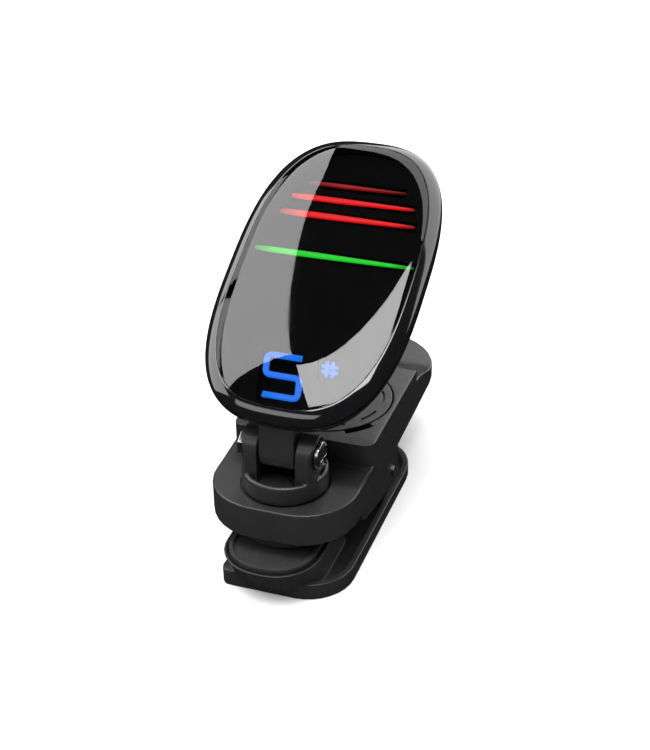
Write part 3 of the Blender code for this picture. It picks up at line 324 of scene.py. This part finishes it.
finishes = {
    "clip": satin_plastic(),
    "clip_edges": satin_plastic("satin_black_soft_edges", 0.28 * MM),
    "rubber": soft_rubber(),
    "gloss": gloss_black(),
    "gloss_back": gloss_shell(),
    "mask": dull_mask(),
    "steel": metal("plated_steel", (0.5, 0.5, 0.52), 0.2, 900),
    "brass": metal("brass_disc", (0.76, 0.58, 0.28), 0.3),
    "green": lit("lit_green", (0.008, 0.85, 0.02), 1.35, (0.010, 0.0145)),
    "red": lit("lit_red", (0.95, 0.003, 0.004), 1.5, (0.0085, 0.0125)),
    "red_dim": lit("lit_red_dim", (0.6, 0.003, 0.004), 0.8, (0.003, 0.0088)),
    "blue": lit("lit_blue", (0.006, 0.2, 1.0), 1.5),
    "board": board_mask(),
}
floor_finish, floor_tree, floor_shader = new_finish("pale_floor", (0.86, 0.86, 0.86), 0.6, specular=0.2)
mottle(floor_tree, floor_shader, noise(floor_tree, 3, 2), (0.85, 0.85, 0.85), (0.88, 0.88, 0.88))
floor_mesh.materials.append(floor_finish)
print("finishes:", ", ".join(sorted(finishes)))

# %% [markdown]
# ## Glass window
# The display's window is smoked glass. It must reflect the room sharply and let the lit bars shine
# through. A Principled shader with full transmission would bend the light and need many bounces, so
# the window mixes a clear tinted pass with a mirror, and the mirror grows as the view gets shallower.
# Only the outer side is a mirror, or the bars would be seen twice.

# %% Window finish
def smoked_window():
    """Transparent where you look straight in, mirror-like at a glance."""
    material = bpy.data.materials.new("smoked_window")
    material.use_nodes = True
    tree = material.node_tree
    tree.nodes.remove(tree.nodes["Principled BSDF"])
    clear = tree.nodes.new("ShaderNodeBsdfTransparent")
    clear.inputs["Color"].default_value = (0.75, 0.75, 0.76, 1)
    mirror = tree.nodes.new("ShaderNodeBsdfGlossy")
    mirror.inputs["Color"].default_value = (1, 1, 1, 1)
    tree.links.new(spread(tree, noise(tree, 140, 5), 0.012, 0.035), mirror.inputs["Roughness"])
    facing = tree.nodes.new("ShaderNodeLayerWeight")
    power = tree.nodes.new("ShaderNodeMath")
    power.operation = "POWER"
    power.inputs[1].default_value = 5
    tree.links.new(facing.outputs["Facing"], power.inputs[0])
    side = tree.nodes.new("ShaderNodeNewGeometry")
    outer = tree.nodes.new("ShaderNodeMath")
    outer.operation = "MULTIPLY"
    tree.links.new(spread(tree, power.outputs[0], 0.045, 1, 0, 1), outer.inputs[0])
    tree.links.new(spread(tree, side.outputs["Backfacing"], 1, 0, 0, 1), outer.inputs[1])
    mix = tree.nodes.new("ShaderNodeMixShader")
    tree.links.new(outer.outputs[0], mix.inputs["Fac"])
    tree.links.new(clear.outputs["BSDF"], mix.inputs[1])
    tree.links.new(mirror.outputs["BSDF"], mix.inputs[2])
    tree.links.new(mix.outputs["Shader"], tree.nodes["Material Output"].inputs["Surface"])
    return material


finishes["window"] = smoked_window()

# %% [markdown]
# ## Softened frame pieces
# The clip's mouldings already have their true shape in the frame, with holes, posts and slots. Real
# mouldings have no knife edges, and an edge only shows when it catches a light. So each one is copied,
# its loose triangles are merged back into flat faces, and a Bevel modifier rounds its edges.

# %% Softened copies
FLAT_ANGLE = 0.5                # degrees: faces closer than this to one plane are joined
EDGE_ANGLE = 30                 # degrees: sharper edges than this are rounded


def merged_copy(node, split=False):
    """The node's mesh as a new mesh, with doubles merged and flat triangles joined into larger faces.

    split cuts the faces that wrap round something, such as a tray's floor, into convex ones again.
    """
    mesh = frame["nodes"][node].data.copy()
    mesh.materials.clear()
    build = bmesh.new()
    build.from_mesh(mesh)
    bmesh.ops.remove_doubles(build, verts=build.verts, dist=1e-6)
    flat = math.radians(FLAT_ANGLE)
    bmesh.ops.dissolve_limit(build, angle_limit=flat, verts=build.verts, edges=build.edges)
    if split:
        bmesh.ops.connect_verts_concave(build, faces=build.faces)
    build.to_mesh(mesh)
    build.free()
    return mesh


def body_of_node(node):
    """The moving body that the node belongs to."""
    for body, nodes in frame["record"]["behaviour"]["bodies"].items():
        if node in nodes:
            return body
    raise ValueError(node)


def finish_piece(obj, finish, *nodes):
    """Paints a new piece, makes it ride with the body of the node it stands for, and hides that node."""
    obj.data.materials.clear()
    obj.data.materials.append(finishes[finish])
    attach(obj, body_of_node(nodes[0]))
    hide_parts(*nodes)
    return obj


def round_edges(obj, width, angle=EDGE_ANGLE):
    """Rounds the edges sharper than angle, and shades the flat faces between them flat."""
    bevel = obj.modifiers.new("round_edges", "BEVEL")
    bevel.width = width
    bevel.segments = 3
    bevel.limit_method = "ANGLE"
    bevel.angle_limit = math.radians(angle)
    bevel.use_clamp_overlap = False
    obj.data.shade_smooth()
    normals = obj.modifiers.new("flat_faces", "WEIGHTED_NORMAL")
    normals.keep_sharp = False


def soften(node, finish, width, split=False):
    """A copy of the node whose edges are rounded by width."""
    mesh = merged_copy(node, split)
    mesh.name = node + "_soft"
    obj = bpy.data.objects.new(node + "_soft", mesh)
    scene.collection.objects.link(obj)
    round_edges(obj, width)
    return finish_piece(obj, finish, node)


soften("lower_arm", "clip", 0.18 * MM, split=True)
soften("lower_pad", "rubber", 0.18 * MM)
soften("upper_pad", "rubber", 0.25 * MM)
soften("upper_arm_base", "clip", 0.15 * MM)


DECK_CORNER = 9.4 * MM          # corner radius of the upper arm's front in plan
OUTSIDE_REACH = 0.25 * MM       # edges this near the upper arm's outline are rounded


def distance_inside(points):
    """How far inside the upper arm's plan each point lies.

    The plan is as wide as the arm, with two corner arcs at the front and a half circle at the back. The
    distance is the arc's radius less the distance from its centre, or the half width less |x| between.
    """
    x, y = np.abs(points[:, 0]), points[:, 1]
    half = x.max()
    front, back = y.min(), y.max()
    from_front = np.hypot(np.maximum(x - (half - DECK_CORNER), 0), y - (front + DECK_CORNER))
    from_back = np.hypot(x, y - (back - half))
    distance = np.where(y < front + DECK_CORNER, DECK_CORNER - from_front, half - x)
    return np.where(y > back - half, half - from_back, distance)


def soften_outside(node, finish, width):
    """As soften, but only crisp edges along the outline are rounded. Holes and grooves keep their rims."""
    obj = soften(node, finish, width, split=True)
    mesh = obj.data
    points = np.empty(len(mesh.vertices) * 3, dtype=np.float32)
    mesh.vertices.foreach_get("co", points)
    ends = np.empty(len(mesh.edges) * 2, dtype=np.int32)
    mesh.edges.foreach_get("vertices", ends)
    near = distance_inside(points.reshape(-1, 3)) < OUTSIDE_REACH
    outside = near[ends.reshape(-1, 2)].all(axis=1)
    build = bmesh.new()
    build.from_mesh(mesh)
    limit = math.radians(EDGE_ANGLE)
    crisp = np.array([edge.is_manifold and edge.calc_face_angle(0) > limit for edge in build.edges])
    build.free()
    weights = mesh.attributes.new("bevel_weight_edge", "FLOAT", "EDGE")
    weights.data.foreach_set("value", (outside & crisp).astype(np.float32))
    if "sharp_edge" in mesh.attributes:
        mesh.attributes.remove(mesh.attributes["sharp_edge"])
    sharp = mesh.attributes.new("sharp_edge", "BOOLEAN", "EDGE")
    sharp.data.foreach_set("value", crisp & ~outside)
    obj.modifiers["round_edges"].limit_method = "WEIGHT"
    obj.modifiers["flat_faces"].keep_sharp = True
    print(node, "edges rounded:", int((outside & crisp).sum()), "of", int(crisp.sum()))


soften_outside("upper_arm_shell", "clip_edges", 0.3 * MM)
soften("swivel_yoke", "clip", 0.2 * MM)
soften("tilt_screw", "steel", 0.1 * MM)
soften("tilt_nut", "steel", 0.15 * MM)
soften("power_button", "rubber", 0.15 * MM)

# %% [markdown]
# ## Pieces that keep the frame's mesh
# Screws, contacts and the parts inside are small or hidden, so the frame's own shape serves. The battery
# cap keeps its shape too: a Bevel modifier spoils its fine marks, so only its finish rounds its edges.

# %% Pieces that keep the frame's own mesh
def repaint(finish, *nodes):
    """Gives the frame's own pieces a finish."""
    for node in nodes:
        mesh = frame["nodes"][node].data
        mesh.materials.clear()
        mesh.materials.append(finishes[finish])


repaint("steel", "hinge_pin", "torsion_spring", "coin_cell", "contact_positive", "contact_negative",
        "swivel_washer", "swivel_screw", "base_screw_left", "base_screw_right", "button_switch",
        "head_screw_1", "head_screw_2", "head_screw_3", "head_screw_4")
repaint("brass", "piezo_sensor")
repaint("clip", "battery_tray", "controller_chip")
repaint("clip_edges", "battery_cover")
repaint("mask", "light_frame")
repaint("board", "circuit_board")

# %% [markdown]
# ## Head
# The head is a pebble: its outline is a squared ellipse, and front and back are shallow domes. A
# sculpted or subdivided box would only come near it, so each surface is computed as a grid. One
# parameter runs round the outline and the other runs from the widest line in towards the middle.

# %% Head frame
HEAD_HALF = np.array([17.12, 29.10]) * MM       # half width and half length of the widest line
SQUARENESS = 2.81                               # 2 is an ellipse, and more is squarer
HEAD_FRONT = 2.8 * MM                           # how far the face crowns
HEAD_BACK = 7.0 * MM                            # how deep the back is
HEAD_PIVOT = Vector((0, -29.05 * MM, -7.7 * MM))        # the tilt screw, seen from the head's middle
LEAN = math.radians(27.8)                       # the head lies back this far above level
head_turn = Matrix.Rotation(LEAN, 3, "X")
head_middle = Vector(joints["head_tilt"]["pos_m"]) - head_turn @ HEAD_PIVOT
ROUND_STEPS = 240


def outline_ring(inset):
    """The head's outline, |x/a|^n + |y/b|^n = 1, with both half sizes a and b made smaller by inset."""
    angle = 2 * math.pi * (np.arange(ROUND_STEPS) + 0.5) / ROUND_STEPS
    a, b = HEAD_HALF - inset
    c, s = np.cos(angle), np.sin(angle)
    x = a * np.sign(c) * np.abs(c) ** (2 / SQUARENESS)
    y = b * np.sign(s) * np.abs(s) ** (2 / SQUARENESS)
    return np.stack([x, y], axis=1)


def ring_stack(profile):
    """A grid of points: one outline ring for each (inset, z) of the profile."""
    rings = [np.column_stack([outline_ring(inset), np.full(ROUND_STEPS, z)]) for inset, z in profile]
    return np.array(rings)


def to_world(points):
    """From the head's own axes, x right, y up its length and z out of its face, to the model's."""
    return points @ np.array(head_turn).T + np.array(head_middle)


def grid_mesh(name, grid, closed_rows, finish, node):
    """Skins a grid of rings. closed_rows joins the last ring to the first. Otherwise the ends are capped."""
    rows, columns = grid.shape[:2]
    index = np.arange(rows * columns).reshape(rows, columns)
    ahead = np.roll(index, -1, axis=0)
    upper = ahead if closed_rows else ahead[:-1]
    lower = index if closed_rows else index[:-1]
    quads = np.stack([lower, np.roll(lower, -1, 1), np.roll(upper, -1, 1), upper], axis=-1).reshape(-1, 4)
    faces = quads.tolist()
    if not closed_rows:
        faces += [index[0][::-1].tolist(), index[-1].tolist()]
    mesh = bpy.data.meshes.new(name)
    mesh.from_pydata(to_world(grid.reshape(-1, 3)).tolist(), [], faces)
    build = bmesh.new()
    build.from_mesh(mesh)
    bmesh.ops.recalc_face_normals(build, faces=build.faces)
    build.to_mesh(mesh)
    build.free()
    mesh.shade_smooth()
    obj = bpy.data.objects.new(name, mesh)
    scene.collection.objects.link(obj)
    return finish_piece(obj, finish, node)


def crown(share):
    """Height of the face's crown, 0 to 1: sqrt(1 - (1 - q)^4), where q is the share of the way in."""
    return math.sqrt(1 - (1 - share) ** 4)


def hollow(share):
    """Depth of the back, 0 to 1: sqrt(1 - (1 - q)^3), a fuller curve than the face's."""
    return math.sqrt(1 - (1 - share) ** 3)


def pebble(curve, height, start, end, steps, shift=0.0):
    """(inset, z) points in along a domed side, bunched near the edge where the curve is tightest."""
    shares = np.linspace(math.sqrt(start / HEAD_HALF[0]), math.sqrt(end / HEAD_HALF[0]), steps) ** 2
    return [(share * HEAD_HALF[0] + shift, height * curve(share)) for share in shares]


def quarter(inset, z, radius, start, end, steps=5):
    """A small rounded corner in the profile, about (inset, z), in degrees from the inset axis."""
    angles = np.radians(np.linspace(start, end, steps))
    return [(inset + radius * math.cos(a), z + radius * math.sin(a)) for a in angles]


print("head middle in mm:", [round(x / MM, 2) for x in head_middle])

# %% [markdown]
# ## Rear shell, bezel and window
# The head is two mouldings that meet at a fine seam, with the window let into the front one. Each is one
# profile carried round the outline. The back has four screw wells and a hole for the button, which are
# drilled afterwards, because a profile carried round the outline can't have them.

# %% Rear shell, bezel and window
SEAM_HALF = 0.15 * MM           # half the gap between the two mouldings
BEZEL_WIDTH = 2.12 * MM
WINDOW_EDGE = 2.18 * MM
HEAD_WALL = 1.3 * MM
BACK_WALL = 1.4 * MM
CAP_INSET = 16.6 * MM           # how far in each dome ends, in a small flat cap
EDGE = 0.03 * MM                # rounding of the mouldings' thin edges


def share_from_height(curve_power, share_of_height):
    """Where a pebble's curve reaches a share of its height: the inverse of crown and hollow."""
    return 1 - (1 - share_of_height ** 2) ** (1 / curve_power)


rear_start = share_from_height(3, SEAM_HALF / HEAD_BACK) * HEAD_HALF[0]
rear_outside = pebble(hollow, -HEAD_BACK, rear_start, CAP_INSET, 40)
rear_inside = pebble(hollow, BACK_WALL - HEAD_BACK, rear_start, CAP_INSET - HEAD_WALL, 24, HEAD_WALL)
lip = [(rear_start + 0.3 * MM, -SEAM_HALF), (rear_start + HEAD_WALL - 0.2 * MM, -SEAM_HALF)]
rear_profile = rear_outside[::-1] + lip + rear_inside
rear = grid_mesh("rear_shell", ring_stack(rear_profile), False, "gloss_back", "head_rear_shell")


WELL_PLACE = (7.0 * MM, 14.0 * MM)      # the head screws, left or right and up or down of the middle
WELL_RADIUS = 1.9 * MM
WELL_FLOOR = -5.95 * MM
BUTTON_HOLE = 3.3 * MM
DRILL_FROM = -8.0 * MM                  # behind the back
DRILL_THROUGH = -4.0 * MM               # inside the head
DRILL_SIDES = 48
RIM_ANGLE = 35                          # degrees: sharper edges than this stay crisp


def drill(obj, places):
    """Cuts round holes, each (x, y, radius, floor) in the head's axes. Each tool is a ring swept along z."""
    angle = np.linspace(0, 2 * math.pi, DRILL_SIDES, endpoint=False)
    count = np.arange(DRILL_SIDES)
    after = np.roll(count, -1)
    faces = np.stack([count, after, DRILL_SIDES + after, DRILL_SIDES + count], axis=1).tolist()
    faces += [count[::-1].tolist(), (DRILL_SIDES + count).tolist()]
    for x, y, radius, floor_height in places:
        ring = np.column_stack([x + radius * np.cos(angle), y + radius * np.sin(angle)])
        ends = [np.column_stack([ring, np.full(DRILL_SIDES, z)]) for z in (DRILL_FROM, floor_height)]
        tool_mesh = bpy.data.meshes.new("drill")
        tool_mesh.from_pydata(to_world(np.vstack(ends)).tolist(), [], faces)
        tool = bpy.data.objects.new("drill", tool_mesh)
        scene.collection.objects.link(tool)
        hole = obj.modifiers.new("hole", "BOOLEAN")
        hole.operation = "DIFFERENCE"
        hole.solver = "EXACT"
        hole.object = tool
        bpy.context.view_layer.update()
        result = obj.evaluated_get(bpy.context.evaluated_depsgraph_get())
        drilled = bpy.data.meshes.new_from_object(result)
        obj.modifiers.remove(hole)
        obj.data = drilled
        bpy.data.objects.remove(tool)
        bpy.data.meshes.remove(tool_mesh)
    obj.data.name = obj.name + "_drilled"
    obj.data.set_sharp_from_angle(angle=math.radians(RIM_ANGLE))


wells = [(x * WELL_PLACE[0], y * WELL_PLACE[1], WELL_RADIUS, WELL_FLOOR) for x in (-1, 1) for y in (-1, 1)]
drill(rear, wells + [(0, 0, BUTTON_HOLE, DRILL_THROUGH)])
print("rear shell faces after drilling:", len(rear.data.polygons))

bezel_start = share_from_height(4, SEAM_HALF / HEAD_FRONT) * HEAD_HALF[0]
bezel_top = pebble(crown, HEAD_FRONT, bezel_start, BEZEL_WIDTH - EDGE, 20)
corner_height = bezel_top[-1][1] - EDGE
bezel_profile = bezel_top + quarter(BEZEL_WIDTH - EDGE, corner_height, EDGE, 60, 0, 4)
bezel_profile += [(BEZEL_WIDTH, SEAM_HALF), (BEZEL_WIDTH / 2, SEAM_HALF)]
grid_mesh("bezel", ring_stack(bezel_profile), True, "gloss", "head_bezel")

window_top = pebble(crown, HEAD_FRONT, WINDOW_EDGE + EDGE, CAP_INSET, 48)
edge_height = window_top[0][1] - EDGE
window_profile = [(CAP_INSET, 0.3 * MM), (WINDOW_EDGE, 0.3 * MM)]
window_profile += quarter(WINDOW_EDGE + EDGE, edge_height, EDGE, 180, 120, 4) + window_top
window = grid_mesh("window", ring_stack(window_profile), False, "window", "display_lens")
print("window faces:", len(window.data.polygons))

# %% [markdown]
# ## Knuckle
# The lug under the head that the tilt screw passes through is moulded with the back. Its side view is
# the tightest loop round the screw's boss and the root in the wall, so it is a convex hull drawn out
# to the lug's width, with its edges rounded by a Bevel modifier.

# %% Knuckle
KNUCKLE_HALF = 3.0 * MM
KNUCKLE_RADIUS = 3.0 * MM


def hull_loop(points):
    """The convex loop round some flat points, by Andrew's monotone chain."""
    points = sorted(map(tuple, points))

    def chain(ordered):
        loop = []
        for point in ordered:
            while len(loop) > 1:
                (ax, ay), (bx, by) = loop[-2], loop[-1]
                if (bx - ax) * (point[1] - ay) - (by - ay) * (point[0] - ax) > 0:
                    break
                loop.pop()
            loop.append(point)
        return loop[:-1]

    return chain(points) + chain(points[::-1])


angle = np.linspace(0, 2 * math.pi, 48, endpoint=False)
boss = np.array(HEAD_PIVOT)[1:] + KNUCKLE_RADIUS * np.column_stack([np.cos(angle), np.sin(angle)])
root = [(-28.4 * MM, -1.1 * MM), (-25.9 * MM, -3.9 * MM)]       # where the lug leaves the back
side_view = np.array(hull_loop(list(boss) + root))
widths = np.linspace(-KNUCKLE_HALF, KNUCKLE_HALF, 4)
knuckle_grid = np.array([np.column_stack([np.full(len(side_view), x), side_view]) for x in widths])
knuckle = grid_mesh("knuckle", knuckle_grid, False, "clip", "head_rear_shell")
round_edges(knuckle, 0.3 * MM, 40)
print("knuckle side view points:", len(side_view))

# %% [markdown]
# ## Display
# Behind the window sit the bars, each moulded in clear plastic and lit from behind. A bar is full on
# the left and slims towards the right, its ends are round, and its light fades out at both ends. A
# stretched box would have square ends, so each bar is a stack of cross-sections along its length.

# %% Bars
BAR_DEPTH = 0.5 * MM
SLIM_FROM = 0.4                 # share of a bar's length where it starts to slim
SECTION_STEPS = 16


def rounded_box(width, depth):
    """A section across a stroke: w/2 |cos t|^0.6 wide and d/2 |sin t|^0.35 deep, with its top at 0."""
    angle = 2 * math.pi * (np.arange(SECTION_STEPS) + 0.5) / SECTION_STEPS
    c, s = np.cos(angle), np.sin(angle)
    across = width / 2 * np.sign(c) * np.abs(c) ** 0.6
    return across, -depth / 2 + depth / 2 * np.sign(s) * np.abs(s) ** 0.35


def bar_ring(x, half, thickness, taper):
    """One cross-section of a bar at x, as a rounded box.

    Its height is the thickness times 1/4 + 3/4 sqrt(1 - |x/half|^12), which rounds both ends, and from
    SLIM_FROM of the way along it also falls in a straight line to taper times that.
    """
    share = (x / half + 1) / 2
    end = max(0.0, 1 - abs(x / half) ** 12) ** 0.5
    slim = 1 - (1 - taper) * max(0.0, share - SLIM_FROM) / (1 - SLIM_FROM)
    across, depth = rounded_box(thickness * (0.25 + 0.75 * end) * slim, BAR_DEPTH)
    return np.stack([np.full(SECTION_STEPS, x), across, depth], axis=1)


def light_bar(name, node, finish, half, up, thickness, taper=0.42):
    """A bar of half length half, at height up on the face. Its sections bunch up towards its ends."""
    places = half * np.sin(np.linspace(-math.pi / 2, math.pi / 2, 41))
    grid = np.array([bar_ring(x, half, thickness, taper) + (0, up, 0) for x in places])
    return grid_mesh(name, grid, False, finish, node)


light_bar("bar_green", "meter_bar_green", "green", 14.0 * MM, 4.2 * MM, 1.0 * MM)
light_bar("bar_red_1", "meter_bar_red_1", "red", 12.0 * MM, 12.5 * MM, 1.1 * MM)
light_bar("bar_red_2", "meter_bar_red_2", "red", 11.0 * MM, 16.1 * MM, 1.0 * MM)
light_bar("bar_red_3", "meter_bar_red_3", "red_dim", 8.8 * MM, 19.3 * MM, 0.7 * MM)

# %% [markdown]
# ## Note
# The note is one bent stroke with round corners, so a section is swept along its path, not cut from
# blocks. The sharp sign beside it is four straight strokes that cross. Both lean to the left.

# %% Numeral and sharp sign
NOTE_MIDDLE = (-1.35 * MM, -20.0 * MM)
NOTE_HALF = (2.95 * MM, 3.75 * MM)
NOTE_STROKE = 1.02 * MM
NOTE_LEAN = 0.20
NOTE_CORNER = 1.0 * MM


def rounded_path(corners, radius, steps=8):
    """A polyline whose inner corners are replaced by quadratic curves: (1-t)^2 a + 2t(1-t) b + t^2 c."""
    points = [corners[0]]
    for before, corner, after in zip(corners, corners[1:], corners[2:]):
        start = corner + (before - corner) / np.linalg.norm(before - corner) * radius
        end = corner + (after - corner) / np.linalg.norm(after - corner) * radius
        for t in np.linspace(0, 1, steps):
            points.append((1 - t) ** 2 * start + 2 * t * (1 - t) * corner + t ** 2 * end)
    return np.array(points + [corners[-1]])


def stroke_grid(path, width, depth):
    """Sweeps a rounded box along a flat path. Each section stands square to the path."""
    along = np.gradient(path, axis=0)
    along /= np.linalg.norm(along, axis=1)[:, None]
    across = np.stack([-along[:, 1], along[:, 0]], axis=1)
    off, z = rounded_box(width, depth)
    rings = [np.column_stack([centre + off[:, None] * side, z]) for centre, side in zip(path, across)]
    return np.array(rings)


def lean_and_place(path, middle):
    """Leans a flat path to the left as it climbs, and moves it to its place on the face."""
    return np.column_stack([path[:, 0] - NOTE_LEAN * path[:, 1] + middle[0], path[:, 1] + middle[1]])


w, h = NOTE_HALF
numeral = rounded_path(np.array([(w, h), (-w, h), (-w, 0), (w, 0), (w, -h), (-w, -h)]), NOTE_CORNER)
numeral = lean_and_place(numeral, NOTE_MIDDLE)
grid_mesh("numeral", stroke_grid(numeral, NOTE_STROKE, BAR_DEPTH), False, "blue", "note_digit")

SHARP_MIDDLE = (5.9 * MM, -17.4 * MM)
SHARP_HALF = 1.35 * MM
SHARP_GAP = 0.5 * MM
SHARP_STROKE = 0.5 * MM


def sharp_sign():
    """Two level and two upright strokes, as four grids. They cross, as the real one's light wells do."""
    strokes = []
    for side in (-1, 1):
        strokes.append(np.array([(-SHARP_HALF, side * SHARP_GAP), (SHARP_HALF, side * SHARP_GAP)]))
        strokes.append(np.array([(side * SHARP_GAP, -SHARP_HALF), (side * SHARP_GAP, SHARP_HALF)]))
    return [stroke_grid(lean_and_place(path, SHARP_MIDDLE), SHARP_STROKE, BAR_DEPTH) for path in strokes]


for i, grid in enumerate(sharp_sign()):
    grid_mesh(f"sharp_{i + 1}", grid, False, "blue", "note_sharp")
print("numeral sections:", len(numeral))
